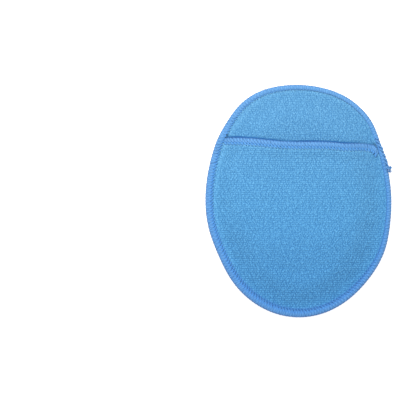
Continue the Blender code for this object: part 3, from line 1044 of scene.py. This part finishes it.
def tail_piece():
    """Loose end of the overlock chain: three thick twisted yarns on the edge seam, cut and frayed at the tip."""
    curve = catmull_rom(np.array(TAIL_ROUTE) * MM, 16, False)
    share = np.arange(len(curve)) / (len(curve) - 1)
    base = stack_high(curve[:, 0] - 3.0 * MM, curve[:, 1]) + 0.5 * MM - 0.9 * MM * (1.0 - smooth(share, 0.0, 0.08))
    centre = np.column_stack([curve, base])
    tangent = unit(np.gradient(centre, axis=0))
    run = distances(centre)
    side = np.cross(tangent, [0.0, 0.0, 1.0])
    up = np.cross(side, tangent)
    upward = np.tile([0.0, 0.0, 1.0], (len(run), 1))
    parts = []
    for k, (pitch, reach, radius) in enumerate(TAIL_STRANDS):
        wander = 0.5 * np.sin(run / (2.3 * MM) + 1.7 * k)
        angle = run / (pitch * MM) * 2.0 * np.pi + k * np.pi + wander
        swell = 1.0 + 0.12 * np.sin(run / (1.3 * MM) + k)
        off = side * (np.cos(angle) * reach * MM * swell)[:, None] + up * (np.sin(angle) * 0.5 * MM)[:, None]
        thick = radius * MM * swell
        # painted shade where the strand dives under the other
        shade = 0.36 - 0.48 * smooth(-np.sin(angle), -0.25, 0.6)
        parts.append(tube(f"tail_{k}", centre + off, upward, thick, thick * 0.8, 8, False, run, shade))
    core = np.full(len(run), 0.8 * MM)
    # a dark core under the strands: painted shade that shows in the gaps between them
    parts.append(tube("tail_painted_shade_core", centre - up * 0.3 * MM, upward, core, core * 0.5, 8, False, run, core * 0.0))
    rng = np.random.default_rng(5)
    for stub, (start, heading, count) in enumerate(TAIL_STUBS):
        # the yarn's solid end, then its loose filaments
        t = np.linspace(0.0, 1.0, 8)
        origin = np.array([start[0] * MM, start[1] * MM, base[-1]])
        line = origin + np.outer((t * 1.9 - 0.9) * MM, [heading[0], heading[1], -0.1])
        thick = (0.62 - 0.2 * t) * MM
        tilt = np.tile([0.0, 0.1, 1.0], (8, 1))
        # painted shade: the end is dark at its root and lighter towards its cut tip
        parts.append(tube(f"end_{stub}", line, tilt, thick, thick, 8, False, t * MM, 0.06 + 0.3 * t))
        for k in range(count):
            turn = math.atan2(heading[1], heading[0]) + rng.normal(0.0, 0.28)
            length = rng.uniform(1.6, 2.8) * MM
            first = origin + rng.normal(0.0, 0.28, 3) * MM
            ahead = np.array([math.cos(turn), math.sin(turn), rng.normal(-0.15, 0.2)])
            bend = np.array([-ahead[1], ahead[0], 0.3]) * rng.normal(0.0, 0.5) * MM
            line = first + np.outer(t * length, ahead) + np.outer(t**2, bend)
            thick = rng.uniform(0.22, 0.32) * MM * (1.0 - 0.45 * t)
            # painted light and shade: some filaments are painted lit, the others in shade
            shade = np.full(8, rng.choice([0.38, 0.06]))
            parts.append(tube(f"fray_{stub}_{k}", line, tilt, thick, thick, 5, False, t * length, shade))
    return join(parts, "edge_thread_tail_yarn")


def join(parts, name):
    """One object from several, keeping their attributes."""
    bpy.ops.object.select_all(action="DESELECT")
    for part in parts:
        part.select_set(True)
    bpy.context.view_layer.objects.active = parts[0]
    bpy.ops.object.join()
    parts[0].name = name
    parts[0].data.name = name
    return parts[0]


def lift_with_pocket(piece):
    """Bakes the piece's placement into its mesh and reads out its points, which nothing then uses."""
    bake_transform(piece)
    co = np.empty(len(piece.data.vertices) * 3, np.float32)
    piece.data.vertices.foreach_get("co", co)
    co = co.reshape(-1, 3)


def set_material(piece, material):
    piece.data.materials.clear()
    piece.data.materials.append(material)


# --- build ------------------------------------------------

# terry colours, from the painted shade between the tufts (dark) to their lit tips (light)
CLOTH_DARK = (0.047, 0.190, 0.430)
CLOTH_MID = (0.111, 0.346, 0.648)
CLOTH_LIGHT = (0.200, 0.490, 0.820)
YARN_DARK = (0.054, 0.187, 0.489)
YARN_MID = (0.087, 0.262, 0.615)
YARN_LIGHT = (0.127, 0.334, 0.725)

cloth = terry_material("blue_terry", CLOTH_DARK, CLOTH_MID, CLOTH_LIGHT)
yarn = yarn_material("blue_bulky_yarn", YARN_DARK, YARN_MID, YARN_LIGHT)
foam = foam_material()

def whole(x, y):
    return inset_at(x, y) > 0.5 * MM

def below_mouth(x, y):
    return whole(x, y) & (depth_in_pocket(x, y) > 0.0)

waves = {
    "wipe": settle("wipe", wipe_low, whole, 0.012, 51),
    "back": settle("back", back_high, whole, 0.012, 52),
    "pocket": settle("pocket", pocket_high, below_mouth, 0.014, 53),
}
# the wiping face lies on the table, so its waves only lift it
waves["wipe"] = np.maximum(waves["wipe"], 0.0)
WAVES.update(waves)

wiping = cloth_panel("wiping_face_terry", oval_boundary(), inside_oval, wipe_face, wipe_reverse, 31)
back = cloth_panel("back_terry", oval_boundary(), inside_oval, back_face, back_reverse, 32)
pocket = cloth_panel("pocket_terry", pocket_boundary(), inside_pocket, pocket_face, pocket_reverse, 33)
padding = foam_piece()

MOUTH = mouth_path()
MOUTH_STITCHES = int(MOUTH.length / STITCH) - 1

edge_line = (EDGE, EDGE_STITCHES)
mouth_line = (MOUTH, MOUTH_STITCHES)
edge_upper = looper("edge_upper_yarn", *edge_line, 1.0, stack_high, edge_middle, EDGE_NEEDLE_INSET, 0.0, 41)
edge_lower = looper("edge_lower_yarn", *edge_line, -1.0, wipe_low, edge_middle, EDGE_NEEDLE_INSET, 0.5, 42)
edge_needle = needle_thread("edge_needle_yarn", *edge_line, stack_high, edge_middle, EDGE_NEEDLE_INSET, 43)
mouth_upper = looper("mouth_upper_yarn", *mouth_line, 1.0, pocket_high, mouth_middle, MOUTH_NEEDLE_INSET, 0.0, 44)
mouth_lower = looper("mouth_lower_yarn", *mouth_line, -1.0, pocket_low, mouth_middle, MOUTH_NEEDLE_INSET, 0.5, 45)
mouth_needle = needle_thread("mouth_needle_yarn", *mouth_line, pocket_high, mouth_middle, MOUTH_NEEDLE_INSET, 46)
tail = tail_piece()

for piece in (wiping, back, pocket):
    set_material(piece, cloth)
set_material(padding, foam)
for piece in (edge_upper, edge_lower, edge_needle, mouth_upper, mouth_lower, mouth_needle, tail):
    set_material(piece, yarn)

for piece in (wiping, back, padding, edge_upper, edge_lower, edge_needle, tail):
    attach(piece, "pad")
for piece in (pocket, mouth_upper, mouth_lower, mouth_needle):
    lift_with_pocket(piece)

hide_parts("wipe_cloth")
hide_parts("back_cloth")
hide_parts("foam_core")
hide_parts("pocket_cloth", "pocket_cloth_margin")
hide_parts("edge_upper_looper_thread")
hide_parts("edge_lower_looper_thread")
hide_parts("edge_needle_thread")
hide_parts("mouth_upper_looper_thread")
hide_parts("mouth_lower_looper_thread")
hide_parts("mouth_needle_thread")
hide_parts("edge_thread_tail")

# --- camera, light and floor ------------------------------

FRAME_SHARES = 400.0
SCALE = 0.6867 * MM  # what one four-hundredth of the frame's width covers on the pad
PAD_RIGHT = 98.15 * SCALE  # the pad lies right of the frame's middle and a little below it
PAD_BELOW = 1.0 * SCALE
CAMERA_HEIGHT = 1.5
SENSOR_WIDTH = 36.0  # millimetres
FLOOR_REACH = 6.0
FLOOR_DROP = 0.0002  # keeps the floor clear of the wiping face

camera_data = bpy.data.cameras.new("camera")
camera = bpy.data.objects.new("camera", camera_data)
bpy.context.scene.collection.objects.link(camera)
camera.rotation_euler = (0.0, 0.0, -PAD_TURN)
camera.location = camera.rotation_euler.to_matrix() @ Vector((-PAD_RIGHT, PAD_BELOW, CAMERA_HEIGHT))
camera_data.sensor_width = SENSOR_WIDTH
camera_data.lens = SENSOR_WIDTH * CAMERA_HEIGHT / (FRAME_SHARES * SCALE)
camera_data.clip_start = 0.01
camera_data.clip_end = 10.0
bpy.context.scene.camera = camera

floor_mesh = bpy.data.meshes.new("floor")
corners = [(FLOOR_REACH * i, FLOOR_REACH * j, 0.0) for i, j in ((-1, -1), (1, -1), (1, 1), (-1, 1))]
floor_mesh.from_pydata(corners, [], [(0, 1, 2, 3)])
floor = bpy.data.objects.new("floor", floor_mesh)
bpy.context.scene.collection.objects.link(floor)
paper = Nodes("white_paper")
paper.set_inputs(PAPER_SURFACE)
floor_mesh.materials.append(paper.material)
floor.location.z = -FLOOR_DROP


def area_light(name, location, size, energy):
    data = bpy.data.lights.new(name, "AREA")
    data.shape = "DISK"
    data.size = size
    data.energy = energy
    light = bpy.data.objects.new(name, data)
    light.location = location
    light.rotation_mode = "QUATERNION"
    light.rotation_quaternion = (-Vector(location)).to_track_quat("-Z", "Y")
    bpy.context.scene.collection.objects.link(light)


area_light("key", (-0.065, 0.24, 0.44), 0.30, 2.51)

world = bpy.data.worlds.new("world")
world.use_nodes = True
background = world.node_tree.nodes["Background"]
background.inputs["Color"].default_value = (1.0, 1.0, 1.0, 1.0)
background.inputs["Strength"].default_value = 0.70
bpy.context.scene.world = world
bpy.context.scene.view_settings.view_transform = "Standard"
